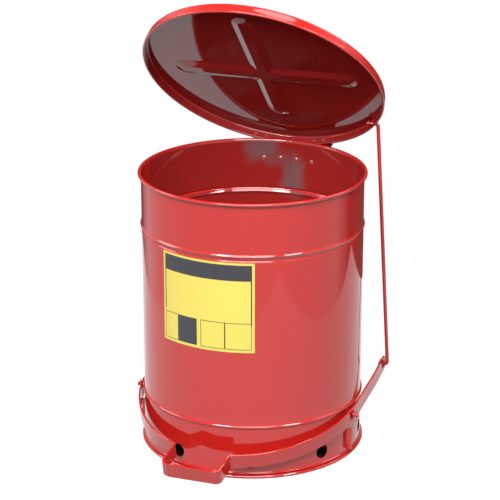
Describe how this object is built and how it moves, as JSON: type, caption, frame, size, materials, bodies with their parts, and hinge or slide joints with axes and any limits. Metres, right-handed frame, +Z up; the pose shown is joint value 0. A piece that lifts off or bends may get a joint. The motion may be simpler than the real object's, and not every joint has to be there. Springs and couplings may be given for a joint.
{
  "type": "foot operated waste can",
  "caption": "Round steel oily-waste can on a ventilated base ring, with a hinged self-closing lid lifted by a foot lever and a rod.",
  "frame": {"origin": "on the can's axis at the floor the base ring stands on", "axes": "+Z up along the can's axis, -Y to the front where the pedal is, +Y to the hinge, +X to the lift rod's side"},
  "size_m": [0.3937, 0.4411, 0.7342],
  "materials": {
    "body_enamel": "glossy red enamel on pressed steel",
    "hardware_enamel": "glossy red enamel on small steel hardware",
    "weld_enamel": "thin red enamel over weld metal",
    "pin_steel": "bare cut ends of a drawn steel pin"
  },
  "bodies": {
    "can": {"can_shell": "body_enamel", "side_seam": "body_enamel", "can_bottom": "body_enamel", "base_ring": "body_enamel", "hinge_bracket": "body_enamel", "hinge_pin": "pin_steel", "pivot_bracket_right": "body_enamel", "pivot_bracket_left": "body_enamel", "pivot_pins": "hardware_enamel", "pivot_spacers": "hardware_enamel", "pivot_washers": "hardware_enamel", "pivot_cotters": "hardware_enamel", "bracket_welds": "weld_enamel", "pivot_bracket_welds": "weld_enamel"},
    "lid": {"lid_pan": "body_enamel", "lid_hinge_leaf": "body_enamel", "lid_leaf_welds": "weld_enamel"},
    "foot_lever": {"foot_lever": "body_enamel"},
    "lift_rod": {"lift_rod": "hardware_enamel", "rod_arm_washers": "hardware_enamel", "rod_hook_washer": "hardware_enamel", "rod_arm_cotter": "hardware_enamel", "rod_hook_cotter": "hardware_enamel"}
  },
  "joints": [
    {"name": "lid_hinge", "type": "hinge", "parent": "can", "child": "lid", "pos_m": [0, 0.1945, 0.45], "axis": [1, 0, 0], "range_deg": [0, 45.5]},
    {"name": "lever_pivot", "type": "hinge", "parent": "can", "child": "foot_lever", "pos_m": [0, -0.029, 0.07], "axis": [1, 0, 0], "range_deg": [-23.14, 0]},
    {"name": "rod_hook", "type": "hinge", "parent": "lid", "child": "lift_rod", "pos_m": [0.1665, 0.13102, 0.50889], "axis": [1, 0, 0], "range_deg": [-42.28, 0]}
  ],
  "couplings": [
    {"joint": "lever_pivot", "follows": "lid_hinge", "ratio": -0.50835},
    {"joint": "rod_hook", "follows": "lid_hinge", "ratio": -0.92896}
  ]
}
